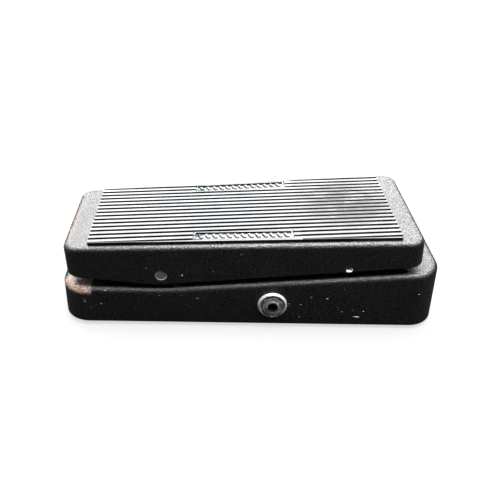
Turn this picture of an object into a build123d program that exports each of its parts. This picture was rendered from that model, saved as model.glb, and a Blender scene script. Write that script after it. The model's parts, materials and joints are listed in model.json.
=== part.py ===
from build123d import *
from math import atan, cos, degrees, pi, radians, sin, tan
import os

# A rocker volume pedal in millimetres. X runs from the heel (-) to the toe (+), +Z is up, and the
# input socket is on the -Y side. The origin is on the floor, under the middle of the base.
# The treadle rocks on a cross rod; a rod near its toe end lifts a rack, which turns the
# potentiometer's pinion.

# ---------------------------------------------------------------- driving dimensions
# Base casting
BASE_LENGTH = 254.0
BASE_HEEL_WIDTH = 81.5
BASE_TOE_WIDTH = 101.6
BASE_CORNER = 19.0
BASE_UNDERSIDE = 3.0
BASE_HEEL_TOP = 29.6
BASE_TOE_TOP = 45.5
BASE_RISE_X = -57.0
BASE_BLEND = 160.0
BASE_EDGE = 4.0
BASE_WALL = 3.2
BASE_DRAFT = 3.0
WINDOW_BACK = 55.0
WINDOW_FRONT = 86.0
WINDOW_HALF = 8.0

# Treadle casting, in its own tilted frame: origin at the middle of its top plane
TREADLE_LENGTH = 230.2
TREADLE_HEEL_WIDTH = 75.9
TREADLE_TOE_WIDTH = 93.3
TREADLE_CORNER = 9.0
TREADLE_EDGE = 3.4
TREADLE_WALL = 3.0
TREADLE_DRAFT = 3.0
TREADLE_DEPTH = 32.0
TREADLE_X = -5.3
TREADLE_Z = 64.0
TREADLE_TILT = 2.16
SKIRT_LOW_X = -58.5
SKIRT_LOW = 28.3
SKIRT_BLEND = 60.0
SKIRT_HEEL = 20.0
SKIRT_TOE = 17.5
SKIRT_RUN_OUT = 5.0
CROSS_RIBS = (-85.0, -20.0, 25.0, 85.0)
CROSS_RIB_LOW = 6.0
CROSS_RIB_THICK = 2.4
TOE_POST_LOW = 16.2
HEEL_POST_LOW = 20.2
STOP_POST_R = 4.0

# Rubber tread, on the treadle's top plane
TREAD_LENGTH = 199.6
TREAD_HEEL_WIDTH = 69.2
TREAD_TOE_WIDTH = 82.7
TREAD_TAPER = (TREAD_TOE_WIDTH - TREAD_HEEL_WIDTH) / 2 / TREAD_LENGTH
TREAD_X = 0.8
TREAD_Y = -1.1
TREAD_THICK = 2.3
TREAD_CORNER = 2.0
GROOVE_RUN_OUT = 1.0
TREAD_SIDE_RIM = 1.0
RIB_PITCH = 4.56
RIB_SHIFT = 2.0
RIB_GROOVE = 1.7
RIB_DEPTH = 1.4
RIB_SHOULDER = 0.4
GROOVES = range(-9, 9)
PANEL_LENGTH = 63.0
PANEL_WIDTH = 9.2
PANEL_X = -1.0
PANEL_RIM = 0.9
PANEL_SINK = 0.96
PANEL_INSET = 1.5
PANEL_BARS = 13
BAR_SLANT = 30.0
BAR_WIDTH = 1.5
BAR_SINK = 0.15

# Pivot rod, its two bearing brackets and the screw that presses a pad on the rod
PIVOT_X = -58.7
PIVOT_Z = 40.4
PIVOT_R = 4.0
EAR_INNER = 24.0
EAR_OUTER = 32.0
EAR_R = 9.0
BRACKET_FOOT_INNER = 11.0
BRACKET_FOOT_THICK = 3.0
BRACKET_FOOT_SCREWS = [(PIVOT_X + x, 17.5) for x in (-5.0, 5.0)]
BUSHING_R = 5.6
BUSHING_FLANGE_R = 7.5
BUSHING_FLANGE = 1.0
RUNNING = 0.05
TENSION_SCREW_R = 2.5
TENSION_SCREW_LOW = 9.5
TENSION_BOSS_R = 6.0
TENSION_BOSS_LOW = 18.0
TENSION_NUT_THICK = 3.0
TENSION_PAD_LOW = 33.0

# Rack pin, rack and pinion; the rack's eye is a slot along X
PIN_X = 62.3
PIN_Z = 47.9
PIN_R = 2.0
PIN_RECESS = 2.4
MODULE = 0.8
TOOTH_PITCH = pi * MODULE
TOOTH_RELIEF = 0.2
MESH_GAP = 0.1
RACK_HALF = 3.0
RACK_LOW = 8.4
RACK_BACK_X = PIN_X - 4.0
RACK_ROOT_X = PIN_X + 3.2
RACK_TEETH = range(-8, 4)
SLOT_BACK = 2.35
SLOT_FRONT = 0.35
SLOT_HALF = PIN_R + 0.2
PINION_TEETH = 20
PINION_R = MODULE * PINION_TEETH / 2
PINION_X = RACK_ROOT_X + 1.25 * MODULE + PINION_R + MESH_GAP
PINION_Z = 29.5
PINION_HALF = 3.6
HUB_R = 5.2
HUB_LENGTH = 4.0
SHAFT_R = 3.0

# Rack guide, hung from the roof
GUIDE_LOW = 16.0
GUIDE_SEAT = 34.0
GUIDE_GAP = 0.4
GUIDE_EAR = 2.5
GUIDE_SCREWS = [(50.0, -12.0), (50.0, 12.0)]

# Potentiometer and its bracket
POT_R = 8.0
POT_BACK = 17.0
POT_BUSHING_R = 3.5
POT_BUSHING_FRONT = 4.4
POT_WASHER = 0.5
BRACKET_Y = 7.5
BRACKET_THICK = 1.5
BRACKET_SEAT = 36.0
BRACKET_SCREWS = [(91.0, 13.5), (91.0, 21.0)]
POT_FRONT = BRACKET_Y + BRACKET_THICK
LUG_X = [PINION_X - 5.0, PINION_X, PINION_X + 5.0]
LUG_Y = 12.0
LUG_HOLE_Z = 13.4
BOARD_LOW = 17.5
BOARD_THICK = 1.2

# Sockets for 6.35 mm plugs
JACK_X = 14.0
JACK_Z = 18.5
JACK_BORE = 3.2
JACK_THREAD = 4.75
JACK_HOLE = 4.9
JACK_FRONT = 2.9
JACK_SHOULDER_R = 6.4
JACK_SHOULDER = 1.3
JACK_WASHER = 9.8
JACK_WASHER_RIM = 1.7
JACK_WASHER_FLOOR = 0.8
JACK_NUT_FLATS = 12.7
JACK_NUT_THICK = 1.6
FRAME_THICK = 1.2
ARM_LOW = -8.0
ARM_TOP = ARM_LOW + FRAME_THICK
STACK_START = -7.0
STACK_END = -15.5
RIVETS = (-9.0, -13.5)
RIVET_R = 1.0
CONTACT_THICK = 0.4
INSULATOR_THICK = 1.1
TAP_ACROSS = 7.8
TAP_DEPTH = -10.4
TAP_HOLE_R = 0.8
WIRE_R = 0.7

# Bottom plate, feet and rubber stops
PLATE_THICK = 1.5
PLATE_LEDGE = 1.6
PLATE_GAP = 0.1
FOOT_R = 8.0
FOOT_HEEL = (-107.0, 26.0)
FOOT_TOE = (105.0, 34.0)
FOOT_BOSS_R = 5.0
FOOT_SCREW_TOP = 18.0
BUMPER_Y = 20.0
BUMPER_R = 5.5
BUMPER_BORE = 0.9
BUMPER_PEG = 2.2
HEEL_BUMPER_X = -100.0
HEEL_BUMPER_TALL = 4.0
TOE_BUMPER_X = 100.0
TOE_BUMPER_TALL = 3.0
TOE_BUMPER_SEAT = 44.2

# Small screws and their bosses
SCREW_R = 2.0
SMALL_SCREW_R = 1.5
SMALL_BOSS_R = 3.6
SMALL_HEAD_R = 2.7
SMALL_HEAD = 1.6
HOLE_GAP = 0.05
FAR_AWAY = 60.0

SIDES = {"near": -1, "far": 1}
TREADLE_PLACE = Pos(TREADLE_X, 0, TREADLE_Z) * Rot(0, -TREADLE_TILT, 0)


# ---------------------------------------------------------------- shared shapes
def span(x_low, x_high, y_low, y_high, z_low, z_high):
    """A box between two corners."""
    middle = Pos((x_low + x_high) / 2, (y_low + y_high) / 2, (z_low + z_high) / 2)
    return middle * Box(x_high - x_low, y_high - y_low, z_high - z_low)


def post(x, y, z_low, z_high, radius):
    """An upright cylinder."""
    return Pos(x, y, (z_low + z_high) / 2) * Cylinder(radius, z_high - z_low)


def cross_bar(x, z, y_low, y_high, radius):
    """A cylinder along Y."""
    return Pos(x, (y_low + y_high) / 2, z) * Rot(90, 0, 0) * Cylinder(radius, y_high - y_low)


def ring(outer, inner, thick):
    """A washer standing on the XY plane."""
    blank = Cylinder(outer, thick, align=(Align.CENTER, Align.CENTER, Align.MIN))
    return blank - Cylinder(inner, thick, align=(Align.CENTER, Align.CENTER, Align.MIN))


def hexagon(flats, thick):
    """A hexagonal blank standing on the XY plane, with its corners turned off."""
    blank = extrude(RegularPolygon(flats / 2, 6, major_radius=False), thick)
    corner = flats / 2 / cos(radians(30))
    drum = Cylinder(corner, thick, align=(Align.CENTER, Align.CENTER, Align.MIN))
    return blank & chamfer(drum.edges(), thick * 0.22)


def pan_screw(radius, length, head_radius, head):
    """A screw whose head stands on the XY plane, with its shank up and a cross slot below."""
    screw = Cylinder(head_radius, head, align=(Align.CENTER, Align.CENTER, Align.MIN))
    screw = fillet(screw.edges().sort_by(Axis.Z)[0], head * 0.45)
    screw += post(0, 0, head, head + length, radius)
    slot = head_radius * 1.2
    screw -= span(-slot / 2, slot / 2, -0.35, 0.35, 0, head * 0.5)
    return screw - span(-0.35, 0.35, -slot / 2, slot / 2, 0, head * 0.5)


def tapered_plan(length, heel_width, toe_width, corner):
    """A flat outline that narrows towards the heel."""
    half = length / 2
    outline = Polygon(
        (-half, -heel_width / 2),
        (half, -toe_width / 2),
        (half, toe_width / 2),
        (-half, heel_width / 2),
        align=None,
    )
    return fillet(outline.vertices(), corner)


def drafted_block(length, heel_width, toe_width, corner, height, draft, inset=0.0):
    """A tapered plan pulled up with draft; inset moves every wall in by the same amount."""
    plan = tapered_plan(
        length - 2 * inset, heel_width - 2 * inset, toe_width - 2 * inset, corner - inset
    )
    return extrude(plan, height, taper=draft)


# ---------------------------------------------------------------- base
def base_top(x):
    """Height of the base's top at x, away from the blend."""
    rise = (BASE_TOE_TOP - BASE_HEEL_TOP) / (BASE_LENGTH / 2 - BASE_RISE_X)
    return BASE_HEEL_TOP + max(0.0, x - BASE_RISE_X) * rise


def base_half_width(x, z):
    """Distance from the middle plane to the outside of a side wall."""
    share = x / BASE_LENGTH + 0.5
    width = BASE_HEEL_WIDTH + (BASE_TOE_WIDTH - BASE_HEEL_WIDTH) * share
    return width / 2 - (z - BASE_UNDERSIDE) * tan(radians(BASE_DRAFT))


def base_profile(drop, low):
    """Side view of the base as a thick slab: flat over the heel, then rising to the toe."""
    far_x = BASE_LENGTH
    corners = [
        (-far_x, low),
        (far_x, low),
        (far_x, base_top(far_x) - drop),
        (BASE_RISE_X, BASE_HEEL_TOP - drop),
        (-far_x, BASE_HEEL_TOP - drop),
    ]
    outline = Polygon(*corners, align=None)
    bend = outline.vertices().sort_by_distance((BASE_RISE_X, BASE_HEEL_TOP - drop, 0))[0]
    outline = fillet(bend, BASE_BLEND)
    return extrude(Plane.XZ * outline, BASE_LENGTH / 2, both=True)


def base_block(inset, drop, low):
    block = drafted_block(
        BASE_LENGTH, BASE_HEEL_WIDTH, BASE_TOE_WIDTH, BASE_CORNER, 60, BASE_DRAFT, inset
    )
    return Pos(0, 0, low) * block & base_profile(drop, low)


def base_outside():
    """The casting's outer form, with its top edge rounded."""
    block = base_block(0, 0, BASE_UNDERSIDE)
    tops = [face for face in block.faces() if face.normal_at().Z > 0.9]
    edges = ShapeList([edge for face in tops for edge in face.edges()])
    rim = ShapeList(
        [
            edge
            for edge in edges
            if abs(edge.center().X) > BASE_LENGTH * 0.4 or abs(edge.center().Y) > BASE_HEEL_WIDTH / 4
        ]
    )
    return fillet(rim, BASE_EDGE)


def foot_places():
    return [(x, side * y) for x, y in (FOOT_HEEL, FOOT_TOE) for side in SIDES.values()]


def bumper_places():
    return [(x, side * BUMPER_Y) for x in (HEEL_BUMPER_X, TOE_BUMPER_X) for side in SIDES.values()]


def bracket_foot_places():
    return [(x, side * y) for x, y in BRACKET_FOOT_SCREWS for side in SIDES.values()]


def base_bosses():
    """The screw bosses inside the casting, and the seats of the toe bumpers on its roof."""
    inside = base_block(BASE_WALL / 2, BASE_WALL / 2, BASE_UNDERSIDE)
    bosses = post(PIVOT_X, 0, TENSION_BOSS_LOW, BASE_HEEL_TOP - 1, TENSION_BOSS_R)
    for x, y in foot_places():
        bosses += post(x, y, BASE_UNDERSIDE + PLATE_THICK, FAR_AWAY, FOOT_BOSS_R) & inside
    for x, y in GUIDE_SCREWS:
        bosses += post(x, y, GUIDE_SEAT, base_top(x) - 1, SMALL_BOSS_R)
    for x, y in BRACKET_SCREWS:
        bosses += post(x, y, BRACKET_SEAT, base_top(x) - 1, SMALL_BOSS_R)
    for side in SIDES.values():
        low = base_top(TOE_BUMPER_X) - 1
        bosses += post(TOE_BUMPER_X, side * BUMPER_Y, low, TOE_BUMPER_SEAT, BUMPER_R + 1.5)
    return bosses


def base_holes():
    """The roof window, the screw holes, the bumpers' holes and the sockets' holes."""
    small = SMALL_SCREW_R + HOLE_GAP
    holes = span(WINDOW_BACK, WINDOW_FRONT, -WINDOW_HALF, WINDOW_HALF, BASE_HEEL_TOP, FAR_AWAY)
    holes += post(PIVOT_X, 0, TENSION_BOSS_LOW, FAR_AWAY, TENSION_SCREW_R + HOLE_GAP)
    for x, y in bumper_places() + bracket_foot_places():
        holes += post(x, y, BASE_HEEL_TOP - 2 * BASE_WALL, FAR_AWAY, small)
    for x, y in foot_places():
        holes += post(x, y, BASE_UNDERSIDE, FOOT_SCREW_TOP, SCREW_R + HOLE_GAP)
    for x, y in GUIDE_SCREWS:
        holes += post(x, y, GUIDE_SEAT, GUIDE_SEAT + 3.2, small)
    for x, y in BRACKET_SCREWS:
        holes += post(x, y, BRACKET_SEAT, BRACKET_SEAT + 4.6, small)
    for side in SIDES.values():
        holes += jack_plane(side) * Rot(0, 0, 10) * Cylinder(JACK_HOLE, 4 * BASE_WALL)
    return holes


def base_shell():
    """The cast housing: four walls and a roof, open below."""
    hollow = base_block(BASE_WALL, BASE_WALL, BASE_UNDERSIDE)
    shell = base_outside() - hollow + base_bosses() - base_holes()
    return shell - plate_blank(PLATE_LEDGE)


# ---------------------------------------------------------------- pivot bearings
def pivot_bracket(side):
    """A bearing block on the base's roof: an upright ear, with a foot turned inwards."""
    y_low, y_high = sorted((side * EAR_INNER, side * EAR_OUTER))
    block = cross_bar(PIVOT_X, PIVOT_Z, y_low, y_high, EAR_R)
    block += span(PIVOT_X - EAR_R, PIVOT_X + EAR_R, y_low, y_high, BASE_HEEL_TOP, PIVOT_Z)
    y_low, y_high = sorted((side * BRACKET_FOOT_INNER, side * EAR_OUTER))
    top = BASE_HEEL_TOP + BRACKET_FOOT_THICK
    block += span(PIVOT_X - EAR_R, PIVOT_X + EAR_R, y_low, y_high, BASE_HEEL_TOP, top)
    block -= base_profile(0, 0)
    block -= cross_bar(PIVOT_X, PIVOT_Z, -FAR_AWAY, FAR_AWAY, BUSHING_R)
    for x, y in BRACKET_FOOT_SCREWS:
        block -= post(x, side * y, BASE_UNDERSIDE, FAR_AWAY, SMALL_SCREW_R + HOLE_GAP)
    return block


def pivot_bracket_screws():
    screw = pan_screw(SMALL_SCREW_R, BASE_WALL + 2.4, SMALL_HEAD_R, SMALL_HEAD)
    low = BASE_HEEL_TOP - BASE_WALL - SMALL_HEAD
    return [Pos(x, y, low) * screw for x, y in bracket_foot_places()]


# ---------------------------------------------------------------- bottom plate and feet
def plate_blank(inset):
    """The bottom plate's outline at its own thickness, inset from the base's outside."""
    plan = tapered_plan(
        BASE_LENGTH - 2 * inset,
        BASE_HEEL_WIDTH - 2 * inset,
        BASE_TOE_WIDTH - 2 * inset,
        BASE_CORNER - inset,
    )
    return Pos(0, 0, BASE_UNDERSIDE) * extrude(plan, PLATE_THICK)


def bottom_plate():
    """The sheet that closes the base, with a hole under the tension screw."""
    plate = plate_blank(PLATE_LEDGE + PLATE_GAP)
    for x, y in foot_places():
        plate -= post(x, y, 0, FAR_AWAY, SCREW_R + 0.3)
    return plate - post(PIVOT_X, 0, 0, FAR_AWAY, TENSION_SCREW_R + 2.0)


def rubber_foot(x, y):
    """A round foot, with its screw's head sunk in it."""
    foot = Cylinder(FOOT_R, BASE_UNDERSIDE, align=(Align.CENTER, Align.CENTER, Align.MIN))
    foot = fillet(foot.edges().sort_by(Axis.Z)[0], 0.8)
    foot -= Cylinder(4.2, 1.6, align=(Align.CENTER, Align.CENTER, Align.MIN))
    foot -= Cylinder(SCREW_R + 0.2, BASE_UNDERSIDE, align=(Align.CENTER, Align.CENTER, Align.MIN))
    return Pos(x, y, 0) * foot


def foot_screws():
    screw = pan_screw(SCREW_R, 14.0, 3.6, 1.2)
    return [Pos(x, y, 0.4) * screw for x, y in foot_places()]


# ---------------------------------------------------------------- bumpers and pivot
def bumpers(x, seat, tall):
    """Rubber stops with a peg through the casting."""
    button = ring(BUMPER_R, BUMPER_BORE, tall)
    button = fillet(button.edges().group_by(Axis.Z)[-1].sort_by(SortBy.RADIUS)[-1], 1.0)
    button += Pos(0, 0, -BUMPER_PEG) * ring(SMALL_SCREW_R, BUMPER_BORE, BUMPER_PEG)
    return [Pos(x, side * BUMPER_Y, seat) * button for side in SIDES.values()]


def pivot_bushing(side):
    """A flanged nylon bushing, with its flange on the ear's outer face."""
    width = EAR_OUTER - EAR_INNER
    sleeve = ring(BUSHING_R, PIVOT_R + RUNNING, width)
    sleeve += Pos(0, 0, width) * ring(BUSHING_FLANGE_R, PIVOT_R + RUNNING, BUSHING_FLANGE)
    return Pos(PIVOT_X, side * EAR_INNER, PIVOT_Z) * Rot(-90 * side, 0, 0) * sleeve


def tension_pad():
    """A nylon saddle pressed up against the rod."""
    pad = span(PIVOT_X - 8, PIVOT_X + 8, -9, 9, TENSION_PAD_LOW, PIVOT_Z - 1.5)
    pad = fillet(pad.edges().filter_by(Axis.Z), 2.0)
    return pad - cross_bar(PIVOT_X, PIVOT_Z, -10, 10, PIVOT_R + RUNNING)


def tension_screw():
    """A set screw up through the base's roof, turned with a hexagon key from below."""
    screw = post(PIVOT_X, 0, TENSION_SCREW_LOW, TENSION_PAD_LOW, TENSION_SCREW_R)
    socket = extrude(RegularPolygon(TENSION_SCREW_R / 2, 6, major_radius=False), 3.0)
    return screw - Pos(PIVOT_X, 0, TENSION_SCREW_LOW) * socket


def tension_lock_nut():
    nut = hexagon(8.0, TENSION_NUT_THICK)
    nut -= post(0, 0, 0, TENSION_NUT_THICK, TENSION_SCREW_R + HOLE_GAP)
    return Pos(PIVOT_X, 0, TENSION_BOSS_LOW - TENSION_NUT_THICK) * nut


def pivot_rod():
    """The cross rod that the treadle rocks on, flush with its skirts."""
    reach = treadle_half_width(PIVOT_X, PIVOT_Z) - 0.3
    rod = cross_bar(PIVOT_X, PIVOT_Z, -reach, reach, PIVOT_R)
    return chamfer(rod.edges().filter_by(GeomType.CIRCLE), 0.5)


def rack_pin():
    """The cross rod near the treadle's toe end that carries the rack."""
    reach = treadle_half_width(PIN_X, PIN_Z) - PIN_RECESS
    pin = cross_bar(PIN_X, PIN_Z, -reach, reach, PIN_R)
    return chamfer(pin.edges().filter_by(GeomType.CIRCLE), 0.4)


def open_clip(outer, inner, thick):
    """A retaining clip, open below."""
    clip = ring(outer, inner, thick)
    return clip - span(-inner * 0.7, inner * 0.7, -outer, 0, 0, thick)


def rod_clips(x, z, y_inner, outer, inner, thick):
    """A pair of clips that face each other across the middle plane."""
    clip = open_clip(outer, inner, thick)
    far = Pos(x, y_inner + thick, z) * Rot(90, 0, 0) * clip
    return [far, Pos(x, -y_inner, z) * Rot(90, 0, 0) * clip]


# ---------------------------------------------------------------- treadle
def treadle_half_width(x, z):
    """Distance from the middle plane to the outside of the treadle's side wall."""
    tilt = radians(TREADLE_TILT)
    along = (x - TREADLE_X) * cos(tilt) + (z - TREADLE_Z) * sin(tilt)
    down = -((z - TREADLE_Z) * cos(tilt) - (x - TREADLE_X) * sin(tilt))
    share = along / TREADLE_LENGTH + 0.5
    width = TREADLE_HEEL_WIDTH + (TREADLE_TOE_WIDTH - TREADLE_HEEL_WIDTH) * share
    return width / 2 + down * tan(radians(TREADLE_DRAFT))


def treadle_block(inset, drop):
    """The treadle's drafted form in its own frame, cut off drop below the top plane."""
    grow = TREADLE_DEPTH * tan(radians(TREADLE_DRAFT))
    block = drafted_block(
        TREADLE_LENGTH + 2 * grow,
        TREADLE_HEEL_WIDTH + 2 * grow,
        TREADLE_TOE_WIDTH + 2 * grow,
        TREADLE_CORNER + grow,
        TREADLE_DEPTH - drop,
        TREADLE_DRAFT,
        inset,
    )
    return Pos(0, 0, -TREADLE_DEPTH) * block


def skirt_profile():
    """Side view of the treadle: its lower edge is a shallow V with its low point at the pivot."""
    half = TREADLE_LENGTH / 2
    corners = [
        (-half - SKIRT_RUN_OUT, SKIRT_RUN_OUT),
        (-half - SKIRT_RUN_OUT, -SKIRT_HEEL),
        (SKIRT_LOW_X, -SKIRT_LOW),
        (half + SKIRT_RUN_OUT, -SKIRT_TOE),
        (half + SKIRT_RUN_OUT, SKIRT_RUN_OUT),
    ]
    outline = Polygon(*corners, align=None)
    low = outline.vertices().sort_by_distance((SKIRT_LOW_X, -SKIRT_LOW, 0))[0]
    outline = fillet(low, SKIRT_BLEND)
    return extrude(Plane.XZ * outline, TREADLE_TOE_WIDTH, both=True)


def treadle_shell():
    """The cast treadle: a top with four skirts, cross ribs, stop posts and the rods' bosses."""
    shell = treadle_block(0, 0) & skirt_profile()
    shell = fillet(shell.faces().sort_by(Axis.Z)[-1].edges(), TREADLE_EDGE)
    shell -= treadle_block(TREADLE_WALL, TREADLE_WALL)
    shell += stop_posts(TOE_BUMPER_X - TREADLE_X, TOE_POST_LOW)
    shell += stop_posts(HEEL_BUMPER_X - TREADLE_X, HEEL_POST_LOW)
    for x in CROSS_RIBS:
        shell += cross_rib(x)
    shell = TREADLE_PLACE * shell
    for x, z, radius in ((PIVOT_X, PIVOT_Z, PIVOT_R), (PIN_X, PIN_Z, PIN_R)):
        for side in SIDES.values():
            shell += rod_boss(x, z, side, radius + 2.2)
        shell -= cross_bar(x, z, -FAR_AWAY, FAR_AWAY, radius + HOLE_GAP)
    return shell


def stop_posts(x, low):
    """Two cast posts that come down on the bumpers."""
    near, far = [
        post(x, side * BUMPER_Y, -low, -TREADLE_WALL / 2, STOP_POST_R) for side in SIDES.values()
    ]
    return near + far


def cross_rib(x):
    """A low stiffening rib under the treadle's top."""
    share = x / TREADLE_LENGTH + 0.5
    width = TREADLE_HEEL_WIDTH + (TREADLE_TOE_WIDTH - TREADLE_HEEL_WIDTH) * share
    reach = width / 2 - TREADLE_WALL / 2
    half = CROSS_RIB_THICK / 2
    return span(x - half, x + half, -reach, reach, -CROSS_RIB_LOW, -TREADLE_WALL / 2)


def rod_boss(x, z, side, radius):
    """The thickening inside a skirt where a rod passes."""
    reach = treadle_half_width(x, z)
    y_low, y_high = sorted((side * (reach - 6.0), side * (reach - 1.0)))
    return cross_bar(x, z, y_low, y_high, radius)


# ---------------------------------------------------------------- rubber tread
def tread_half_width(x):
    return (TREAD_HEEL_WIDTH + TREAD_TOE_WIDTH) / 4 + TREAD_TAPER * x


def groove_profile():
    """Section of the space between two ribs: a round floor corner and rounded rib shoulders."""
    half = RIB_GROOVE / 2
    floor = TREAD_THICK - RIB_DEPTH
    slot = Rectangle(RIB_GROOVE, 2 * RIB_DEPTH)
    slot = Pos(0, floor + RIB_DEPTH) * fillet(slot.vertices().group_by(Axis.Y)[0], 0.3)
    mouth = Pos(0, TREAD_THICK) * Rectangle(RIB_GROOVE + 2 * RIB_SHOULDER, 2 * RIB_SHOULDER)
    for side in SIDES.values():
        mouth -= Pos(side * (half + RIB_SHOULDER), TREAD_THICK - RIB_SHOULDER) * Circle(RIB_SHOULDER)
    return slot + mouth


def tread_pad():
    """A rubber sheet: grooves from end to end, a rim along each side and two framed panels."""
    plan = tapered_plan(TREAD_LENGTH, TREAD_HEEL_WIDTH, TREAD_TOE_WIDTH, TREAD_CORNER)
    pad = extrude(plan, TREAD_THICK)
    groove_half = TREAD_LENGTH / 2 + GROOVE_RUN_OUT
    field = tapered_plan(
        2 * groove_half,
        TREAD_HEEL_WIDTH - 2 * TREAD_SIDE_RIM,
        TREAD_TOE_WIDTH - 2 * TREAD_SIDE_RIM,
        TREAD_CORNER / 2,
    )
    field = extrude(field, TREAD_THICK)
    groove = extrude(Plane.YZ * groove_profile(), groove_half, both=True)
    for step in GROOVES:
        pad -= Pos(0, RIB_SHIFT + step * RIB_PITCH, 0) * groove & field
    for side in SIDES.values():
        pad = framed_panel(pad, side)
    return TREADLE_PLACE * (Pos(TREAD_X, TREAD_Y, 0) * pad)


def framed_panel(pad, side):
    """Sinks a panel beside one long edge, frames it and fills it with slanted bars."""
    middle = side * (tread_half_width(PANEL_X) - PANEL_INSET - PANEL_WIDTH / 2)
    place = Pos(PANEL_X, middle, 0) * Rot(0, 0, side * degrees(atan(TREAD_TAPER)))
    floor = TREAD_THICK - PANEL_SINK
    half, rise = PANEL_LENGTH / 2, PANEL_WIDTH / 2
    frame = span(-half, half, -rise, rise, floor - 0.6, TREAD_THICK)
    window = span(
        -half + PANEL_RIM, half - PANEL_RIM, -rise + PANEL_RIM, rise - PANEL_RIM, floor, 9
    )
    panel = frame - window
    pad -= place * span(-half - 0.7, half + 0.7, -rise - 0.3, rise + 0.3, floor, 9)
    pad += place * panel
    pitch = (PANEL_LENGTH - 4 * PANEL_RIM) / PANEL_BARS
    bar = span(-BAR_WIDTH / 2, BAR_WIDTH / 2, -rise / 2, rise / 2, floor - 0.3, TREAD_THICK - BAR_SINK)
    for step in range(PANEL_BARS):
        x = (step - (PANEL_BARS - 1) / 2) * pitch
        pad += place * Pos(x, 0, 0) * Rot(0, 0, BAR_SLANT) * bar
    return pad


# ---------------------------------------------------------------- rack and pinion
def tooth(x_root, x_tip, root_half, tip_half):
    """Outline of one tooth that points along +X."""
    return Polygon(
        (x_root, -root_half), (x_tip, -tip_half), (x_tip, tip_half), (x_root, root_half), align=None
    )


def tooth_halves():
    """Half thickness of a tooth at its root and at its tip, thinned for backlash."""
    pitch_half = TOOTH_PITCH / 4 - TOOTH_RELIEF / 2
    slope = tan(radians(20))
    return pitch_half + 1.25 * MODULE * slope, pitch_half - MODULE * slope


def rack():
    """A nylon rack with a slotted eye at its top, which hangs on the treadle's cross pin."""
    bar = span(RACK_BACK_X, RACK_ROOT_X, -RACK_HALF, RACK_HALF, RACK_LOW, PIN_Z)
    eye = span(PIN_X - 7.0, PIN_X + 5.0, -RACK_HALF, RACK_HALF, PIN_Z - 5.5, PIN_Z + 5.0)
    bar += fillet(eye.edges().filter_by(Axis.Y), 3.5)
    root_half, tip_half = tooth_halves()
    outline = tooth(RACK_ROOT_X - 0.2, RACK_ROOT_X + 2.25 * MODULE, root_half, tip_half)
    solid_tooth = Rot(90, 0, 0) * extrude(outline, RACK_HALF, both=True)
    for step in RACK_TEETH:
        bar += Pos(0, 0, PINION_Z + step * TOOTH_PITCH) * solid_tooth
    back, front = PIN_X - SLOT_BACK, PIN_X + SLOT_FRONT
    for x in (back, front):
        bar -= cross_bar(x, PIN_Z, -RACK_HALF, RACK_HALF, SLOT_HALF)
    return bar - span(back, front, -RACK_HALF, RACK_HALF, PIN_Z - SLOT_HALF, PIN_Z + SLOT_HALF)


def pinion():
    """A brass pinion whose tooth gap faces the rack."""
    root_half, tip_half = tooth_halves()
    root_r = PINION_R - 1.25 * MODULE
    outline = Circle(root_r)
    for step in range(PINION_TEETH):
        angle = (step + 0.5) * 360 / PINION_TEETH
        outline += Rot(0, 0, angle) * tooth(root_r - 0.3, PINION_R + MODULE, root_half, tip_half)
    gear = extrude(outline, PINION_HALF, both=True)
    gear += Pos(0, 0, PINION_HALF) * ring(HUB_R, SHAFT_R, HUB_LENGTH)
    gear -= Cylinder(SHAFT_R + HOLE_GAP / 2, FAR_AWAY)
    tapped = Cylinder(1.25, HUB_R + 1, align=(Align.CENTER, Align.CENTER, Align.MIN))
    gear -= Pos(0, 0, PINION_HALF + HUB_LENGTH / 2) * Rot(90, 0, 0) * tapped
    return Pos(PINION_X, 0, PINION_Z) * Rot(90, 0, 0) * gear


def pinion_set_screw():
    """The socket screw that holds the pinion's hub on the shaft."""
    screw = Pos(0, 0, SHAFT_R) * Cylinder(1.2, 2.0, align=(Align.CENTER, Align.CENTER, Align.MIN))
    socket = Pos(0, 0, SHAFT_R + 1.0) * extrude(RegularPolygon(0.6, 6, major_radius=False), 1.0)
    middle = -PINION_HALF - HUB_LENGTH / 2
    return Pos(PINION_X, middle, PINION_Z) * Rot(180, 0, 0) * (screw - socket)


def pot_shaft():
    shaft = cross_bar(
        PINION_X, PINION_Z, -PINION_HALF - HUB_LENGTH - 0.6, POT_BACK - 1.2, SHAFT_R
    )
    return chamfer(shaft.edges().group_by(Axis.Y)[0], 0.5)


def pot_body():
    body = cross_bar(PINION_X, PINION_Z, POT_FRONT, POT_BACK, POT_R)
    body = fillet(body.edges().group_by(Axis.Y)[-1], 1.0)
    return body - cross_bar(PINION_X, PINION_Z, 0, POT_BACK - 1.0, SHAFT_R + RUNNING)


def pot_bushing():
    sleeve = ring(POT_BUSHING_R, SHAFT_R + RUNNING, POT_FRONT - POT_BUSHING_FRONT)
    return Pos(PINION_X, POT_FRONT, PINION_Z) * Rot(90, 0, 0) * sleeve


def pot_washer():
    washer = ring(POT_BUSHING_R + 2.0, POT_BUSHING_R + HOLE_GAP, POT_WASHER)
    return Pos(PINION_X, BRACKET_Y, PINION_Z) * Rot(90, 0, 0) * washer


def pot_nut():
    nut = hexagon(10.0, 2.0) - post(0, 0, 0, 2, POT_BUSHING_R + HOLE_GAP)
    return Pos(PINION_X, BRACKET_Y - POT_WASHER, PINION_Z) * Rot(90, 0, 0) * nut


def pot_terminal_board():
    """The brown board below the potentiometer's body that carries its lugs."""
    back = LUG_Y + BOARD_THICK
    board = span(PINION_X - 7.5, PINION_X + 7.5, LUG_Y, back, BOARD_LOW, PINION_Z)
    board = fillet(board.edges().filter_by(Axis.Y).group_by(Axis.Z)[0], 1.5)
    return board - cross_bar(PINION_X, PINION_Z, 0, FAR_AWAY, POT_R)


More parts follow.
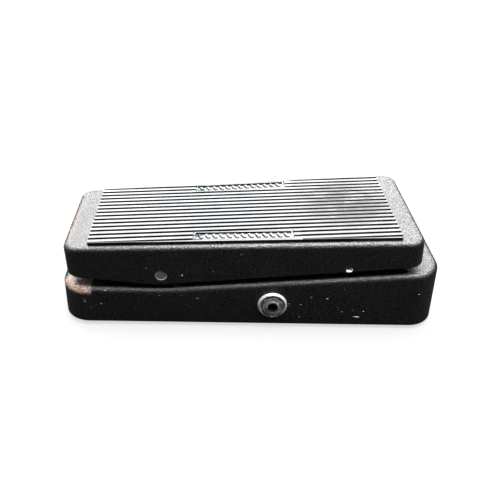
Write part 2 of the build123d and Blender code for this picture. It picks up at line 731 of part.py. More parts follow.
def pot_lugs():
    lug = span(-1.2, 1.2, LUG_Y - CONTACT_THICK, LUG_Y, LUG_HOLE_Z - 1.9, BOARD_LOW + 2.2)
    lug -= cross_bar(0, LUG_HOLE_Z, 0, FAR_AWAY, TAP_HOLE_R)
    return [Pos(x, 0, 0) * lug for x in LUG_X]


def pot_bracket():
    """A bent steel plate that hangs the potentiometer from the base's roof."""
    upright = span(62, 98, BRACKET_Y, POT_FRONT, 20, BRACKET_SEAT)
    upright = fillet(upright.edges().filter_by(Axis.Y).group_by(Axis.Z)[0], 5.0)
    flange = span(84, 98, BRACKET_Y, 25.5, BRACKET_SEAT - BRACKET_THICK, BRACKET_SEAT)
    bracket = upright + fillet(flange.edges().filter_by(Axis.Z).group_by(Axis.Y)[-1], 2.0)
    bracket -= cross_bar(PINION_X, PINION_Z, 0, FAR_AWAY, POT_BUSHING_R + HOLE_GAP)
    for x, y in BRACKET_SCREWS:
        bracket -= post(x, y, 0, FAR_AWAY, SMALL_SCREW_R + 0.2)
    return bracket


def pot_bracket_screws():
    screw = pan_screw(SMALL_SCREW_R, 5.5, SMALL_HEAD_R, SMALL_HEAD)
    low = BRACKET_SEAT - BRACKET_THICK - SMALL_HEAD
    return [Pos(x, y, low) * screw for x, y in BRACKET_SCREWS]


def rack_guide():
    """A nylon channel that keeps the rack against the pinion."""
    back = RACK_BACK_X - GUIDE_GAP
    half = RACK_HALF + GUIDE_GAP
    guide = span(back - 3.4, RACK_ROOT_X - 1.0, -6.2, 6.2, GUIDE_LOW, GUIDE_SEAT)
    guide -= span(back, RACK_ROOT_X, -half, half, 0, FAR_AWAY)
    guide -= span(back - 1.4, back, -2.6, 2.6, GUIDE_LOW + 2, GUIDE_SEAT - 2)
    ears = span(46, back - 1.5, -16, 16, GUIDE_SEAT - GUIDE_EAR, GUIDE_SEAT)
    guide += fillet(ears.edges().filter_by(Axis.Z).group_by(Axis.X)[0], 1.5)
    for x, y in GUIDE_SCREWS:
        guide -= post(x, y, 0, FAR_AWAY, SMALL_SCREW_R + 0.2)
    return guide


def rack_guide_screws():
    screw = pan_screw(SMALL_SCREW_R, 5.4, SMALL_HEAD_R, SMALL_HEAD)
    low = GUIDE_SEAT - GUIDE_EAR - SMALL_HEAD
    return [Pos(x, y, low) * screw for x, y in GUIDE_SCREWS]


def rack_spring():
    """A bowed steel leaf in the guide's recess, behind the rack."""
    back = RACK_BACK_X - GUIDE_GAP
    low, high = GUIDE_LOW + 2.4, GUIDE_SEAT - 2.4
    bow = ThreePointArc((back - 1.2, low), (back + 0.1, (low + high) / 2), (back - 1.2, high))
    strip = offset(bow, 0.14, side=Side.BOTH)
    return extrude(Plane.XZ * make_face(strip), 2.2, both=True)


# ---------------------------------------------------------------- sockets
def jack_plane(side):
    """A plane on a side wall's outer face: its Z points out of the pedal and its Y up."""
    lean = (BASE_TOE_WIDTH - BASE_HEEL_WIDTH) / 2 / BASE_LENGTH
    normal = Vector(-lean, side, tan(radians(BASE_DRAFT))).normalized()
    along = Vector(side * -1.0, -lean, 0)
    origin = (JACK_X, side * base_half_width(JACK_X, JACK_Z), JACK_Z)
    return Plane(origin=origin, x_dir=along, z_dir=normal)


def jack_bushing():
    """The threaded barrel that takes the plug, with a shoulder inside the wall."""
    low = -BASE_WALL - FRAME_THICK - JACK_SHOULDER
    barrel = post(0, 0, low, JACK_FRONT, JACK_THREAD)
    barrel = chamfer(barrel.edges().sort_by(Axis.Z)[-1], 0.5)
    barrel += post(0, 0, low, low + JACK_SHOULDER, JACK_SHOULDER_R)
    return barrel - Cylinder(JACK_BORE, FAR_AWAY)


def jack_washer():
    """A round dress washer: a raised, rounded rim around a flat floor for the nut."""
    bore = JACK_THREAD + 0.1
    floor, rim = JACK_WASHER_FLOOR, JACK_WASHER_RIM
    under = [(bore, 0.0), (JACK_WASHER, 0.0), (JACK_WASHER, 0.4)]
    over = [(JACK_WASHER - 0.3, 1.1), (JACK_WASHER - 0.9, rim), (JACK_WASHER - 1.5, rim)]
    profile = Polygon(*under, *over, (JACK_WASHER - 2.3, floor), (bore, floor), align=None)
    return revolve(Plane.XZ * profile, Axis.Z)


def jack_nut():
    nut = hexagon(JACK_NUT_FLATS, JACK_NUT_THICK)
    nut -= post(0, 0, 0, JACK_NUT_THICK, JACK_THREAD + HOLE_GAP)
    return Pos(0, 0, JACK_WASHER_FLOOR) * Rot(0, 0, 20) * nut


def rivet_holes(piece):
    for depth in RIVETS:
        piece -= Pos(0, ARM_LOW, depth) * Rot(90, 0, 0) * Cylinder(RIVET_R + HOLE_GAP, 12)
    return piece


def jack_frame():
    """The sleeve's frame: a plate behind the wall and an arm that carries the contact stack."""
    front = -BASE_WALL
    plate = span(-7, 7, ARM_LOW, 8, front - FRAME_THICK, front)
    plate = fillet(plate.edges().filter_by(Axis.Z), 2.0)
    plate -= Cylinder(JACK_THREAD + HOLE_GAP, FAR_AWAY)
    arm = span(-4.2, 4.2, ARM_LOW, ARM_TOP, STACK_END - 2, front - FRAME_THICK)
    lug = span(-9.5, -4.2, ARM_LOW, ARM_LOW + 0.6, -12.0, -8.8)
    lug -= Pos(-TAP_ACROSS, ARM_LOW, TAP_DEPTH) * Rot(90, 0, 0) * Cylinder(TAP_HOLE_R, 4)
    return rivet_holes(plate + arm + lug)


def jack_insulators():
    """Two fibre spacers that keep the contact off the frame."""
    lower = span(-3.8, 3.8, ARM_TOP, ARM_TOP + INSULATOR_THICK, STACK_END, STACK_START)
    step = INSULATOR_THICK + CONTACT_THICK
    pieces = [lower, Pos(0, step, 0) * lower]
    return [rivet_holes(piece) for piece in pieces]


def jack_contact():
    """The tip spring, which rises to the plug's tip behind the barrel, with its solder lug."""
    low = ARM_TOP + INSULATOR_THICK
    crest = -JACK_BORE - CONTACT_THICK - 0.15
    under = [(low, STACK_START), (low, STACK_END - 1.5), (crest, -24.5), (crest - 1.6, -28.0)]
    over = [(height + CONTACT_THICK, depth) for height, depth in reversed(under)]
    outline = Polygon(*under, *over, align=None)
    spring = extrude(Plane.YZ * outline, 2.6, both=True)
    lug = span(0, 9.5, low, low + CONTACT_THICK, -12.0, -8.8)
    lug -= Pos(TAP_ACROSS, low, TAP_DEPTH) * Rot(90, 0, 0) * Cylinder(TAP_HOLE_R, 4)
    return rivet_holes(spring + lug)


def jack_rivets():
    """Two rivets through the arm, the spacers and the contact, with a head at each end."""
    top = ARM_TOP + 2 * INSULATOR_THICK + CONTACT_THICK
    rivet = cross_bar(0, 0, ARM_LOW, top, RIVET_R)
    rivet += cross_bar(0, 0, ARM_LOW - 0.6, ARM_LOW, 1.8 * RIVET_R)
    rivet += cross_bar(0, 0, top, top + 0.6, 1.8 * RIVET_R)
    return [Pos(0, 0, depth) * rivet for depth in RIVETS]


def jack_pieces(name, side):
    """One socket's pieces, placed on its wall."""
    place = jack_plane(side)
    pieces = {
        "bushing": [jack_bushing()],
        "washer": [jack_washer()],
        "nut": [jack_nut()],
        "frame": [jack_frame()],
        "insulators": jack_insulators(),
        "contact": [jack_contact()],
        "rivets": jack_rivets(),
    }
    return {f"{name}_{key}": [place * piece for piece in group] for key, group in pieces.items()}


# ---------------------------------------------------------------- hookup wires
def corner_radii(points):
    """The largest arc at each corner that its two runs leave room for."""
    radii = []
    for before, here, after in zip(points, points[1:], points[2:]):
        run_in = Vector(*here) - Vector(*before)
        run_out = Vector(*after) - Vector(*here)
        turn = radians(run_in.get_angle(run_out))
        radii.append(0.45 * min(run_in.length, run_out.length) / tan(turn / 2))
    return radii


def wire(points):
    """A round wire along straight runs joined by tangent arcs."""
    path = FilletPolyline(*points, radius=corner_radii(points))
    start = Plane(origin=points[0], z_dir=Vector(*points[1]) - Vector(*points[0]))
    return sweep(start * Circle(WIRE_R), path=path)


def solder_run(side, across, height, rise):
    """Two points of a wire that stands in a socket's solder lug: its end, and rise above it."""
    spot = jack_plane(side).from_local_coords(Vector(across, height - 0.4, TAP_DEPTH))
    return [(spot.X, spot.Y, spot.Z), (spot.X, spot.Y, spot.Z + rise)]


def hookup_wires():
    """Input to the potentiometer, wiper to the output, and the common return."""
    tip = ARM_TOP + INSULATOR_THICK
    near, far = SIDES["near"], SIDES["far"]
    pot_hot, pot_wiper, pot_cold = [(x, LUG_Y - 0.8, LUG_HOLE_Z) for x in LUG_X]
    low = LUG_HOLE_Z
    signal_in = solder_run(near, TAP_ACROSS, tip, 8.0)
    signal_in += [(30, -24, 22), (40, -8, 18), (46, 8, 12), (56, 19, 9.5), (65, 22, 11)]
    signal_in += [(LUG_X[0], 18.5, low), pot_hot]
    signal_out = solder_run(far, TAP_ACROSS, tip, 8.0)
    signal_out += [(2, 30, 22), (-2, 20, 18), (9, 11, 12), (28, 11, 9), (46, 22, 9), (64, 27, 11)]
    signal_out += [(LUG_X[1], 20, low), pot_wiper]
    common = solder_run(near, -TAP_ACROSS, ARM_LOW, 7.5)
    common += [(-2, -27, 17), (-5, -12, 9), (6, 1, 6.4), (22, 9, 6.2), (33, 22, 8), (29, 33, 14)]
    common += reversed(solder_run(far, -TAP_ACROSS, ARM_LOW, 7.5))
    strap = [pot_cold, (LUG_X[2], 18.6, low), (LUG_X[2] - 0.6, 20.5, 20), (LUG_X[2] - 1.5, 20.5, 27)]
    strap += [(LUG_X[2] - 1.5, POT_BACK, 27)]
    return {
        "hookup_wire_input": wire(signal_in),
        "hookup_wire_output": wire(signal_out),
        "hookup_wire_common": wire(common),
        "pot_case_strap": wire(strap),
    }


# ---------------------------------------------------------------- all pieces
def all_pieces():
    pieces = {
        "base_shell": [base_shell()],
        "bottom_plate": [bottom_plate()],
        "foot_screws": foot_screws(),
        "heel_bumpers": bumpers(HEEL_BUMPER_X, BASE_HEEL_TOP, HEEL_BUMPER_TALL),
        "toe_bumpers": bumpers(TOE_BUMPER_X, TOE_BUMPER_SEAT, TOE_BUMPER_TALL),
        "pivot_bracket_screws": pivot_bracket_screws(),
        "tension_pad": [tension_pad()],
        "tension_screw": [tension_screw()],
        "tension_lock_nut": [tension_lock_nut()],
        "treadle_shell": [treadle_shell()],
        "tread_pad": [tread_pad()],
        "pivot_rod": [pivot_rod()],
        "pivot_rod_clips": rod_clips(PIVOT_X, PIVOT_Z, EAR_OUTER + 1.4, 6.2, PIVOT_R, 0.8),
        "rack_pin": [rack_pin()],
        "rack_pin_clips": rod_clips(PIN_X, PIN_Z, RACK_HALF + 0.4, 3.6, PIN_R, 0.6),
        "rack": [rack()],
        "rack_guide": [rack_guide()],
        "rack_guide_screws": rack_guide_screws(),
        "rack_spring": [rack_spring()],
        "pinion": [pinion()],
        "pinion_set_screw": [pinion_set_screw()],
        "pot_shaft": [pot_shaft()],
        "pot_body": [pot_body()],
        "pot_bushing": [pot_bushing()],
        "pot_washer": [pot_washer()],
        "pot_nut": [pot_nut()],
        "pot_terminal_board": [pot_terminal_board()],
        "pot_lugs": pot_lugs(),
        "pot_bracket": [pot_bracket()],
        "pot_bracket_screws": pot_bracket_screws(),
    }
    for (x, y), place in zip(foot_places(), ("heel_near", "heel_far", "toe_near", "toe_far")):
        pieces[f"rubber_foot_{place}"] = [rubber_foot(x, y)]
    for name, side in SIDES.items():
        pieces[f"pivot_bracket_{name}"] = [pivot_bracket(side)]
        pieces[f"pivot_bushing_{name}"] = [pivot_bushing(side)]
    pieces.update(jack_pieces("input_jack", SIDES["near"]))
    pieces.update(jack_pieces("output_jack", SIDES["far"]))
    for name, shape in hookup_wires().items():
        pieces[name] = [shape]
    return pieces


os.makedirs("parts", exist_ok=True)
for node, solids in all_pieces().items():
    shape = solids[0] if len(solids) == 1 else Compound(children=solids)
    export_step(shape, os.path.join("parts", f"{node}.step"))
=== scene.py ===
"""Looks of a rocker volume pedal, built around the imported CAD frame. Metres throughout."""

import json
import math

import bpy
from mathutils import Matrix, Vector


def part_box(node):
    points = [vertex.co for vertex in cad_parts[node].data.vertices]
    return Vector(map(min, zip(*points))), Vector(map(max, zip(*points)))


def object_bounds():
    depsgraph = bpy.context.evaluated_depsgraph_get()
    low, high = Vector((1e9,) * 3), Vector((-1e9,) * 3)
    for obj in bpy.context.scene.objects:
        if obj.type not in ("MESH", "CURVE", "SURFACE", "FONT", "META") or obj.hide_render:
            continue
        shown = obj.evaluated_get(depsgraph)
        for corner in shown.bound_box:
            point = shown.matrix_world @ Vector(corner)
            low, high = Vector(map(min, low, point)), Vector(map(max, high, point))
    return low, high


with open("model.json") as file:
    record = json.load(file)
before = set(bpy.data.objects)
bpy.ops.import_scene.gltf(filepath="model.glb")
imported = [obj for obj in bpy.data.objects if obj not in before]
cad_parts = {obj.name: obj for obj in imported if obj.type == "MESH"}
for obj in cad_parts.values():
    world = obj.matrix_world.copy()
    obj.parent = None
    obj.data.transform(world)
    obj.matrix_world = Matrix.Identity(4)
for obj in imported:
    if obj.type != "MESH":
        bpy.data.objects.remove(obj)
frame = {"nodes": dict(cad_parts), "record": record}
cad_low, cad_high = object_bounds()

MM = 0.001

# ---------------------------------------------------------------- camera
# A camera in front of the pedal's long side, a little to the heel side and looking down on it.
CAMERA_PLACE = Vector((-20.3, -340.0, 269.9)) * MM
CAMERA_YAW = 0.0622
CAMERA_PITCH = 0.6107
CAMERA_ROLL = 0.0300
CAMERA_LENS = 41.76
SENSOR_WIDTH = 36.0


def add_camera():
    yaw, pitch, roll = CAMERA_YAW, CAMERA_PITCH, CAMERA_ROLL
    forward = Vector(
        (math.sin(yaw) * math.cos(pitch), math.cos(yaw) * math.cos(pitch), -math.sin(pitch))
    )
    level = Vector((math.cos(yaw), -math.sin(yaw), 0.0))
    upright = level.cross(forward)
    right = level * math.cos(roll) + upright * math.sin(roll)
    up = upright * math.cos(roll) - level * math.sin(roll)
    turn = Matrix((right, up, -forward)).transposed().to_4x4()
    data = bpy.data.cameras.new("camera")
    data.lens = CAMERA_LENS
    data.sensor_width = SENSOR_WIDTH
    data.clip_start = 0.01
    camera = bpy.data.objects.new("camera", data)
    camera.matrix_world = Matrix.Translation(CAMERA_PLACE) @ turn
    bpy.context.scene.collection.objects.link(camera)
    bpy.context.scene.camera = camera


# ---------------------------------------------------------------- light and floor
def add_area(name, place, target, size, power):
    """A rectangular soft box that faces its target."""
    data = bpy.data.lights.new(name, "AREA")
    data.shape = "RECTANGLE"
    data.size, data.size_y = size
    data.energy = power
    light = bpy.data.objects.new(name, data)
    light.location = Vector(place)
    light.rotation_mode = "QUATERNION"
    light.rotation_quaternion = (Vector(target) - Vector(place)).to_track_quat("-Z", "Y")
    bpy.context.scene.collection.objects.link(light)


def add_studio():
    """A soft box low behind the pedal, a broad one overhead and a weak one past the heel."""
    centre = (cad_low + cad_high) / 2
    add_area("back_soft_box", (0.07, 1.33, 0.98), centre, (2.0, 0.9), 88.0)
    add_area("top_soft_box", (0.10, 0.12, 1.55), centre, (2.4, 1.4), 330.0)
    add_area("heel_soft_box", (-1.2, 0.15, 0.45), centre, (0.5, 0.5), 3.0)
    world = bpy.data.worlds.new("studio")
    world.use_nodes = True
    world.node_tree.nodes["Background"].inputs["Color"].default_value = (1.0, 1.0, 1.0, 1.0)
    world.node_tree.nodes["Background"].inputs["Strength"].default_value = 0.10
    bpy.context.scene.world = world
    bpy.context.scene.view_settings.view_transform = "Standard"


def add_floor():
    """White paper: pale to the camera even in shadow, and dim in the pedal's own reflections."""
    mesh = bpy.data.meshes.new("floor")
    reach = 6.0
    corners = [(-reach, -reach, 0), (reach, -reach, 0), (reach, reach, 0), (-reach, reach, 0)]
    mesh.from_pydata([Vector(c) + Vector((0, 0, cad_low.z)) for c in corners], [], [(0, 1, 2, 3)])
    floor = bpy.data.objects.new("floor", mesh)
    bpy.context.scene.collection.objects.link(floor)
    paint = Shader("floor_paper")
    paint.set("Base Color", paint.by_ray(0.05, 0.01))
    paint.set("Emission Color", (1.0, 1.0, 1.0, 1.0))
    paint.set("Emission Strength", paint.by_ray(0.66, 0.0))
    paint.set("Roughness", 1.0)
    paint.set("Specular IOR Level", 0.0)
    floor.data.materials.append(paint.material)


# ---------------------------------------------------------------- shader building
class Shader:
    """A node material, with short names for the nodes that its texture needs."""

    def __init__(self, name):
        self.material = bpy.data.materials.new(name)
        self.material.use_nodes = True
        self.tree = self.material.node_tree
        self.surface = self.tree.nodes["Principled BSDF"]
        self.place = self.add("ShaderNodeTexCoord").outputs["Object"]

    def add(self, kind, **values):
        node = self.tree.nodes.new(kind)
        for key, value in values.items():
            setattr(node, key, value)
        return node

    def link(self, source, target):
        self.tree.links.new(source, target)

    def set(self, socket, value):
        """Feeds a socket of the surface from another node, or sets it to a constant."""
        if isinstance(value, bpy.types.NodeSocket):
            self.link(value, self.surface.inputs[socket])
        else:
            self.surface.inputs[socket].default_value = value

    def feed(self, node, socket, value):
        if isinstance(value, bpy.types.NodeSocket):
            self.link(value, node.inputs[socket])
        else:
            node.inputs[socket].default_value = value

    def stretch(self, scale):
        """The place in the frame, stretched along its axes."""
        node = self.add("ShaderNodeMapping")
        self.link(self.place, node.inputs["Vector"])
        node.inputs["Scale"].default_value = scale
        return node.outputs["Vector"]

    def noise(self, scale, detail=3.0, roughness=0.5, place=None):
        node = self.add("ShaderNodeTexNoise")
        self.link(place or self.place, node.inputs["Vector"])
        node.inputs["Scale"].default_value = scale
        node.inputs["Detail"].default_value = detail
        node.inputs["Roughness"].default_value = roughness
        return node.outputs["Fac"]

    def cells(self, scale, place=None):
        """A cloud of points: the distance to the nearest one, and a number of its own."""
        node = self.add("ShaderNodeTexVoronoi")
        self.link(place or self.place, node.inputs["Vector"])
        node.inputs["Scale"].default_value = scale
        parts = self.add("ShaderNodeSeparateColor")
        self.link(node.outputs["Color"], parts.inputs[0])
        chance, other = parts.outputs[0], parts.outputs[1]
        return {"distance": node.outputs["Distance"], "chance": chance, "other": other}

    def ramp(self, value, low, high, bottom=0.0, top=1.0):
        """Maps low..high of a value smoothly to bottom..top."""
        node = self.add("ShaderNodeMapRange", interpolation_type="SMOOTHSTEP")
        self.feed(node, "Value", value)
        node.inputs["From Min"].default_value = low
        node.inputs["From Max"].default_value = high
        node.inputs["To Min"].default_value = bottom
        node.inputs["To Max"].default_value = top
        return node.outputs["Result"]

    def math(self, operation, *values):
        node = self.add("ShaderNodeMath", operation=operation)
        for slot, value in enumerate(values):
            self.feed(node, slot, value)
        return node.outputs[0]

    def mix(self, share, first, second):
        """Blends two colours."""
        node = self.add("ShaderNodeMix", data_type="RGBA")
        self.feed(node, 0, share)
        for slot, colour in ((6, first), (7, second)):
            if isinstance(colour, bpy.types.NodeSocket):
                self.link(colour, node.inputs[slot])
            else:
                node.inputs[slot].default_value = (*colour, 1.0)
        return node.outputs[2]

    def near(self, point, reach, falloff):
        """1 within reach of a point, falling to 0 a little further out."""
        return self.ramp(self.offset(point, (1.0, 1.0, 1.0)), reach, reach + falloff, 1.0, 0.0)

    def axis(self, letter):
        """One coordinate of the place in the frame."""
        node = self.add("ShaderNodeSeparateXYZ")
        self.link(self.place, node.inputs[0])
        return node.outputs[letter]

    def offset(self, point, scale):
        """Distance from a point, with each axis stretched first."""
        shift = self.add("ShaderNodeVectorMath", operation="SUBTRACT")
        self.link(self.place, shift.inputs[0])
        shift.inputs[1].default_value = point
        stretched = self.add("ShaderNodeVectorMath", operation="MULTIPLY")
        self.link(shift.outputs["Vector"], stretched.inputs[0])
        stretched.inputs[1].default_value = scale
        length = self.add("ShaderNodeVectorMath", operation="LENGTH")
        self.link(stretched.outputs["Vector"], length.inputs[0])
        return length.outputs["Value"]

    def around(self, axis, reach, falloff):
        """1 within reach of a line along Y through a point, falling to 0 further out."""
        return self.ramp(self.offset(axis, (1.0, 0.0, 1.0)), reach, reach + falloff, 1.0, 0.0)

    def by_ray(self, seen, reflected):
        """One value for what the camera sees, another for what other surfaces see."""
        straight = self.add("ShaderNodeLightPath").outputs["Is Camera Ray"]
        return self.math("MULTIPLY_ADD", straight, seen - reflected, reflected)

    def bump(self, height, distance, strength=1.0, under=None):
        node = self.add("ShaderNodeBump")
        self.link(height, node.inputs["Height"])
        node.inputs["Distance"].default_value = distance
        node.inputs["Strength"].default_value = strength
        if under is not None:
            self.link(under, node.inputs["Normal"])
        return node.outputs["Normal"]


# ---------------------------------------------------------------- materials
# Places on the pedal that show wear, in metres.
SOCKET_SCUFFS = tuple(Vector((x, -0.0475, 0.0210)) for x in (0.034, 0.048, 0.062, 0.080))
HEEL_SCUFFS = (Vector((-0.103, -0.040, 0.023)), Vector((-0.044, -0.043, 0.024)))
TREADLE_SCUFFS = (Vector((-0.018, -0.042, 0.054)),)
LONG_SCRATCH = Vector((0.0712, -0.0483, 0.0096))
TREADLE_NICK = Vector((-0.0451, -0.0420, 0.0412))

# The tread's lengthwise grooves: the middle of one of them, and their spacing.
GROOVE_START = 0.0009
GROOVE_PITCH = 0.00456
PANEL_MIDDLE = Vector((-0.0002, -0.0011, 0.0))
# Centre of a painted bluish sheen on the tread's reflections, towards the heel.
SHEEN_TINT_CENTRE = Vector((-0.034, 0.010, 0.064))


def chips(shader, places):
    """Small bare spots: many near the scuffed places, few elsewhere."""
    spots = shader.cells(560.0, shader.stretch((0.5, 1.0, 1.3)))
    lumps = shader.noise(1700.0, 2.0)
    size = shader.math("MULTIPLY", lumps, 0.40)
    inside = shader.ramp(shader.math("SUBTRACT", size, spots["distance"]), 0.0, 0.05)
    often = 0.0
    for place in places:
        often = shader.math("MAXIMUM", often, shader.near(place, 0.002, 0.013))
    share = shader.math("MULTIPLY_ADD", often, 0.28, 0.006)
    chosen = shader.math("LESS_THAN", spots["chance"], share)
    bare = shader.math("MULTIPLY", inside, chosen)
    return shader.math("MULTIPLY", bare, shader.ramp(spots["other"], 0.0, 0.8, 0.4, 1.0))


def scratch(shader, place, long, wide, rough):
    """One rubbed-through streak along X, with ragged ends."""
    apart = shader.offset(place, (1.0 / long, 1.0 / wide, 1.0 / wide))
    ragged = shader.math("MULTIPLY_ADD", shader.noise(rough, 2.0), 0.9, apart)
    return shader.ramp(ragged, 0.85, 1.15, 1.0, 0.0)


def heel_rub(shader, name):
    """Where the heel end is rubbed down to the tan undercoat."""
    grime = shader.noise(1000.0, 4.0, 0.7)
    if name == "base":
        along = shader.ramp(shader.axis("X"), -0.1060, -0.1045, 1.0, 0.0)
        up = shader.ramp(shader.axis("Z"), 0.0238, 0.0272)
        side = shader.ramp(shader.axis("Y"), -0.024, -0.030)
        where = shader.math("MULTIPLY", shader.math("MULTIPLY", along, up), side)
        return shader.math("MULTIPLY", where, shader.ramp(grime, 0.30, 0.50, 0.30, 1.0))
    along = shader.ramp(shader.axis("X"), -0.1215, -0.1120, 1.0, 0.0)
    up = shader.ramp(shader.axis("Z"), 0.0545, 0.0575)
    where = shader.math("MULTIPLY", along, up)
    return shader.math("MULTIPLY", where, shader.ramp(grime, 0.50, 0.64, 0.0, 0.8))


def black_paint(name, scuffs):
    """Pebbled black enamel on a casting, rubbed through to the tan undercoat at the heel, with a painted highlight
    around the treadle's rack pin hole.
    """
    shader = Shader(name + "_paint")
    pebble = shader.noise(850.0, 4.0, 0.7)
    glint = shader.noise(1300.0, 2.0)
    fine = shader.noise(2600.0, 2.0)
    cloud = shader.noise(35.0, 3.0)
    shade = shader.mix(shader.ramp(cloud, 0.35, 0.7), (0.0010, 0.0010, 0.0012), (0.0020, 0.0020, 0.0022))
    bare = chips(shader, scuffs)
    if name == "base":
        streak = scratch(shader, LONG_SCRATCH, 0.0036, 0.00045, 900.0)
        bare = shader.math("MAXIMUM", bare, streak)
    else:
        nick = scratch(shader, TREADLE_NICK, 0.0005, 0.0014, 900.0)
        bare = shader.math("MAXIMUM", bare, nick)
    shade = shader.mix(bare, shade, (0.72, 0.72, 0.70))
    tan = shader.mix(shader.ramp(pebble, 0.42, 0.62), (0.095, 0.058, 0.040), (0.34, 0.265, 0.215))
    shade = shader.mix(heel_rub(shader, name), shade, tan)
    # On the treadle, a painted highlight: a pale ring about the rack pin's hole, centred a little low so that it is
    # widest along the hole's lower edge and wall.
    if name == "treadle":
        low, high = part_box("rack_pin")
        pin_hole_highlight_centre = (low + high) / 2 - Vector((0.0, 0.0, 0.0005))
        shade = shader.mix(shader.around(pin_hole_highlight_centre, 0.0020, 0.0003), shade, (0.85, 0.85, 0.85))
    shader.set("Base Color", shade)
    shader.set("Roughness", shader.ramp(fine, 0.3, 0.7, 0.36, 0.44))
    shader.set("Specular IOR Level", shader.ramp(glint, 0.36, 0.64, 0.20, 0.75))
    under = shader.bump(fine, 0.00005)
    shader.set("Normal", shader.bump(pebble, 0.00042, 1.0, under))
    return shader.material


def tread_rubber():
    """Glossy black rubber, dull along its grooves, with a dusty, scuffed patch towards the toe and a painted bluish
    sheen on its reflections nearer the heel.
    """
    shader = Shader("tread_rubber")
    along = shader.stretch((0.12, 1.0, 1.0))
    streak = shader.noise(700.0, 4.0, 0.6, along)
    fine = shader.noise(2600.0, 3.0)
    blotch = shader.noise(55.0, 4.0, 0.6)
    patch = shader.near(Vector((0.066, 0.002, 0.0665)), 0.008, 0.036)
    dust = shader.math("MULTIPLY", patch, shader.ramp(blotch, 0.34, 0.58))
    shader.set("Base Color", shader.mix(dust, (0.0030, 0.0030, 0.0032), (0.020, 0.0205, 0.020)))
    gloss = shader.ramp(streak, 0.3, 0.7, 0.22, 0.34)
    shader.set("Roughness", shader.math("MULTIPLY_ADD", dust, 0.34, gloss))
    # A bluish tint on the ribs' reflections: a painted sheen.
    sheen_tint = shader.math("MULTIPLY", shader.near(SHEEN_TINT_CENTRE, 0.010, 0.060), shader.ramp(blotch, 0.40, 0.60))
    shader.set("Specular Tint", shader.mix(sheen_tint, (1.0, 1.0, 1.0), (0.66, 0.84, 0.90)))
    from_groove = shader.math("SUBTRACT", shader.axis("Y"), GROOVE_START)
    from_groove = shader.math("PINGPONG", from_groove, GROOVE_PITCH / 2)
    rib_top = shader.ramp(from_groove, 0.00105, 0.00135)
    aside = shader.math("ABSOLUTE", shader.math("SUBTRACT", shader.axis("Y"), PANEL_MIDDLE.y))
    ahead = shader.math("ABSOLUTE", shader.math("SUBTRACT", shader.axis("X"), PANEL_MIDDLE.x))
    panel = shader.math("MULTIPLY", shader.ramp(aside, 0.0268, 0.0272), shader.ramp(ahead, 0.0313, 0.0317, 1.0, 0.0))
    clean = shader.math("MAXIMUM", rib_top, panel)
    clean = shader.math("MULTIPLY", clean, shader.math("MULTIPLY_ADD", dust, -0.55, 1.0))
    shader.set("Specular IOR Level", shader.math("MULTIPLY_ADD", clean, 0.42, 0.08))
    under = shader.bump(fine, 0.00002)
    shader.set("Normal", shader.bump(streak, 0.00006, 1.0, under))
    return shader.material


def dull_rubber(name):
    shader = Shader(name)
    grain = shader.noise(900.0, 3.0)
    shade = shader.mix(shader.ramp(shader.noise(90.0), 0.4, 0.7), (0.012, 0.012, 0.012), (0.03, 0.03, 0.03))
    shader.set("Base Color", shade)
    shader.set("Roughness", shader.ramp(grain, 0.3, 0.7, 0.6, 0.8))
    shader.set("Normal", shader.bump(grain, 0.00005))
    return shader.material


def bright_metal(name, light, dark, rough, grain_scale=900.0, metallic=1.0):
    """Plated or bare metal with fine scratches and tarnish."""
    shader = Shader(name)
    tarnish = shader.noise(260.0, 4.0, 0.6)
    scratch = shader.noise(grain_scale, 4.0, 0.7, shader.stretch((1.0, 1.0, 0.15)))
    shade = shader.mix(shader.ramp(tarnish, 0.42, 0.66), light, dark)
    shader.set("Base Color", shade)
    shader.set("Metallic", metallic)
    shader.set("Roughness", shader.ramp(scratch, 0.3, 0.7, rough, rough + 0.16))
    shader.set("Normal", shader.bump(scratch, 0.00002))
    return shader.material


def socket_nickel():
    """Dull, stained nickel plate; the washer's outer edge is lighter (worn bright, and a painted highlight), a
    painted shadow rings the nut's corners, and the jack's hole is painted near black as shade.
    """
    shader = Shader("nickel_plate")
    low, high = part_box("input_jack_washer")
    middle = (low + high) / 2
    stain = shader.noise(330.0, 4.0, 0.65)
    scratch_marks = shader.noise(1100.0, 4.0, 0.7)
    rim_highlight = shader.math("SUBTRACT", 1.0, shader.around(middle, 0.0086, 0.0006))
    bore_shade = shader.around(middle, 0.0034, 0.0002)
    dull = shader.mix(shader.ramp(stain, 0.38, 0.60), (0.34, 0.335, 0.31), (0.10, 0.10, 0.09))
    # A dark ring where the nut's corners meet the washer: painted shadow, broken up by the stains.
    seam_shadow = shader.math("SUBTRACT", shader.around(middle, 0.0074, 0.0003), shader.around(middle, 0.0060, 0.0004))
    seam_shadow = shader.math("MULTIPLY", seam_shadow, shader.ramp(stain, 0.42, 0.52, 1.0, 0.2))
    dull = shader.mix(seam_shadow, dull, (0.015, 0.015, 0.014))
    # Lighter outer edge of the washer: plating worn bright, and a painted highlight.
    shade = shader.mix(rim_highlight, dull, (0.55, 0.55, 0.53))
    # Near black inside the jack's hole: painted shade.
    shader.set("Base Color", shader.mix(bore_shade, shade, (0.010, 0.010, 0.010)))
    shader.set("Metallic", 0.55)
    shader.set("Roughness", shader.ramp(scratch_marks, 0.3, 0.7, 0.22, 0.40))
    shader.set("Normal", shader.bump(scratch_marks, 0.00003))
    return shader.material


def plastic(name, light, dark, rough):
    shader = Shader(name)
    cloud = shader.noise(120.0, 3.0)
    grain = shader.noise(1400.0, 2.0)
    shader.set("Base Color", shader.mix(shader.ramp(cloud, 0.4, 0.65), light, dark))
    shader.set("Roughness", shader.ramp(grain, 0.3, 0.7, rough, rough + 0.15))
    shader.set("Normal", shader.bump(grain, 0.00002))
    return shader.material


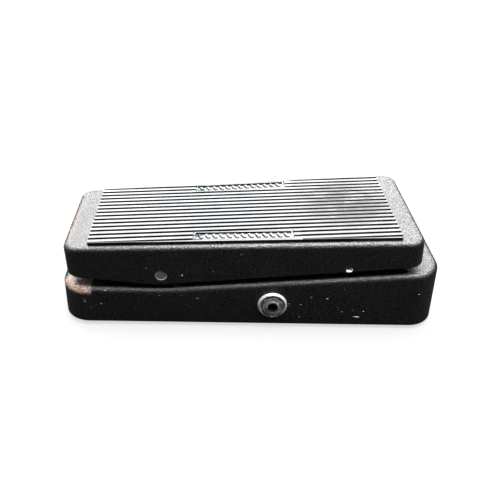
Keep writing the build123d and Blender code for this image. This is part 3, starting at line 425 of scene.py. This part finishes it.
def rod_metal(name, node, rim_highlight, dark, light):
    """Steel rod with a dull oxidised end; its turned edge carries a pale painted highlight, widest along the bottom.
    """
    shader = Shader(name)
    low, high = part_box(node)
    # The centre is raised a little, so that the painted highlight outside the given radius is widest along the
    # bottom.
    axis = (low + high) / 2 + Vector((0.0, 0.0, 0.0005))
    scratch = shader.noise(1500.0, 4.0, 0.7)
    dull = shader.around(axis, rim_highlight, 0.0003)
    shade = shader.mix(shader.ramp(scratch, 0.3, 0.7), dark, light)
    # Outside that radius the colour is a pale painted highlight; inside it, the end's own dull tone.
    shader.set("Base Color", shader.mix(dull, (0.85, 0.84, 0.76), shade))
    shader.set("Metallic", 0.30)
    shader.set("Roughness", shader.ramp(scratch, 0.3, 0.7, 0.26, 0.42))
    shader.set("Normal", shader.bump(scratch, 0.00003))
    return shader.material


def dress_frame():
    """Gives every CAD node its material."""
    steel = bright_metal("zinc_steel", (0.62, 0.62, 0.60), (0.40, 0.39, 0.36), 0.28)
    finishes = {
        "tread_rubber": tread_rubber(),
        "foot_rubber": dull_rubber("foot_rubber"),
        "plated_plate": bright_metal("plated_plate", (0.50, 0.50, 0.50), (0.36, 0.36, 0.35), 0.34),
        "nickel": socket_nickel(),
        "steel": steel,
        "nylon": plastic("nylon", (0.72, 0.71, 0.66), (0.60, 0.58, 0.52), 0.38),
        "brass": bright_metal("brass", (0.66, 0.50, 0.24), (0.42, 0.30, 0.14), 0.24),
        "fibre_board": plastic("fibre_board", (0.30, 0.16, 0.07), (0.22, 0.11, 0.05), 0.5),
        "wire_yellow": plastic("wire_yellow", (0.75, 0.55, 0.06), (0.62, 0.44, 0.05), 0.35),
        "wire_green": plastic("wire_green", (0.06, 0.30, 0.09), (0.05, 0.22, 0.07), 0.35),
        "wire_black": plastic("wire_black", (0.02, 0.02, 0.02), (0.04, 0.04, 0.04), 0.35),
    }
    own = {
        "base_shell": black_paint("base", SOCKET_SCUFFS + HEEL_SCUFFS),
        "treadle_shell": black_paint("treadle", TREADLE_SCUFFS),
        "pivot_rod": rod_metal("rod_steel_painted_highlight", "pivot_rod", 0.0033, (0.045, 0.046, 0.036), (0.15, 0.155, 0.13)),
        # The rack pin is coloured near black all over: painted shade inside its recessed hole.
        "rack_pin": rod_metal("pin_steel_painted_shade", "rack_pin", 0.0030, (0.006, 0.006, 0.006), (0.02, 0.02, 0.02)),
    }
    for row in frame["record"]["subparts"]:
        node = frame["nodes"][row["node"]]
        material = own.get(row["node"]) or finishes[row["material_slot"]]
        node.data.materials.clear()
        node.data.materials.append(material)


add_camera()
add_studio()
add_floor()
dress_frame()
